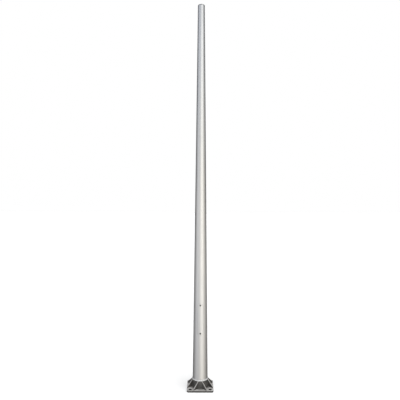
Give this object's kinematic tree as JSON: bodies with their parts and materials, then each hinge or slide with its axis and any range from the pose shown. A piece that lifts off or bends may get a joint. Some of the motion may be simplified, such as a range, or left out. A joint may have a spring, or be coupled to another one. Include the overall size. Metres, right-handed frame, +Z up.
{
  "type": "omnidirectional antenna",
  "caption": "Slim tapered pole antenna on a ribbed cast flange base, with a domed cap, a flush access door and a radiating stack hidden in its upper tube.",
  "frame": {"origin": "centre of the base plate's underside", "axes": "+Z up along the mast, -Y out of the access door, +X to the right of someone facing the door"},
  "size_m": [0.27, 0.27, 4],
  "materials": {
    "cast_aluminium": "as cast, dark in the recesses and pale along the ribs",
    "satin_aluminium": "satin, brushed along the mast",
    "radome_skin": "satin silver coat over glass fibre",
    "weld_metal": "bright rippled bead",
    "plain_aluminium": "mill",
    "stainless_steel": "turned",
    "brass": "turned",
    "copper": "drawn",
    "black_rubber": "moulded",
    "cable_jacket": "extruded",
    "earth_jacket": "extruded",
    "foam": "closed-cell foam",
    "glass_fibre": "pultruded"
  },
  "bodies": {
    "antenna": {"base_casting": "cast_aluminium", "base_weld": "weld_metal", "socket_weld": "weld_metal", "cable_grommet": "black_rubber", "mast_lower_tube": "satin_aluminium", "mast_upper_tube": "satin_aluminium", "mast_sleeve": "plain_aluminium", "door_gasket": "black_rubber", "door_frame": "plain_aluminium", "door_bridge_upper": "plain_aluminium", "door_bridge_lower": "plain_aluminium", "bracket_rail": "plain_aluminium", "rail_standoff_upper": "plain_aluminium", "rail_standoff_lower": "plain_aluminium", "rail_screw_upper": "stainless_steel", "rail_screw_lower": "stainless_steel", "surge_arrester": "stainless_steel", "arrester_nut": "stainless_steel", "earth_stud": "brass", "earth_washer": "stainless_steel", "earth_nut": "brass", "earth_lug": "copper", "earth_lead": "earth_jacket", "feeder_plug_lower": "stainless_steel", "feeder_cable": "cable_jacket", "feeder_plug_upper": "stainless_steel", "cable_spacer_1": "foam", "cable_spacer_2": "foam", "joint_spigot": "plain_aluminium", "joint_seal": "black_rubber", "radome_screw_1": "stainless_steel", "radome_screw_2": "stainless_steel", "radome_screw_3": "stainless_steel", "radome_tube": "radome_skin", "antenna_connector": "stainless_steel", "connector_nut": "stainless_steel", "element_base": "brass", "support_rod": "glass_fibre", "choke_sleeve": "copper", "radiator_1": "brass", "radiator_2": "brass", "radiator_3": "brass", "radiator_4": "brass", "phasing_coil_1": "copper", "phasing_coil_2": "copper", "phasing_coil_3": "copper", "foam_spacer_1": "foam", "foam_spacer_2": "foam", "cap_bridge": "plain_aluminium", "cap_stud": "stainless_steel", "cap": "satin_aluminium", "cap_seal": "black_rubber", "cap_washer": "stainless_steel", "cap_nut": "stainless_steel"},
    "door": {"access_door": "satin_aluminium"},
    "upper_screw": {"door_screw_upper": "stainless_steel", "screw_retainer_upper": "black_rubber"},
    "lower_screw": {"door_screw_lower": "stainless_steel", "screw_retainer_lower": "black_rubber"}
  },
  "joints": [
    {"name": "door_lift_off", "type": "slide", "parent": "antenna", "child": "door", "axis": [0, -1, 0], "range_m": [0, 0.2]},
    {"name": "upper_screw_turn", "type": "hinge", "parent": "door", "child": "upper_screw", "pos_m": [0, -0.0699, 0.8665], "axis": [0, -1, 0], "continuous": true},
    {"name": "lower_screw_turn", "type": "hinge", "parent": "door", "child": "lower_screw", "pos_m": [0, -0.0729, 0.5785], "axis": [0, -1, 0], "continuous": true}
  ]
}
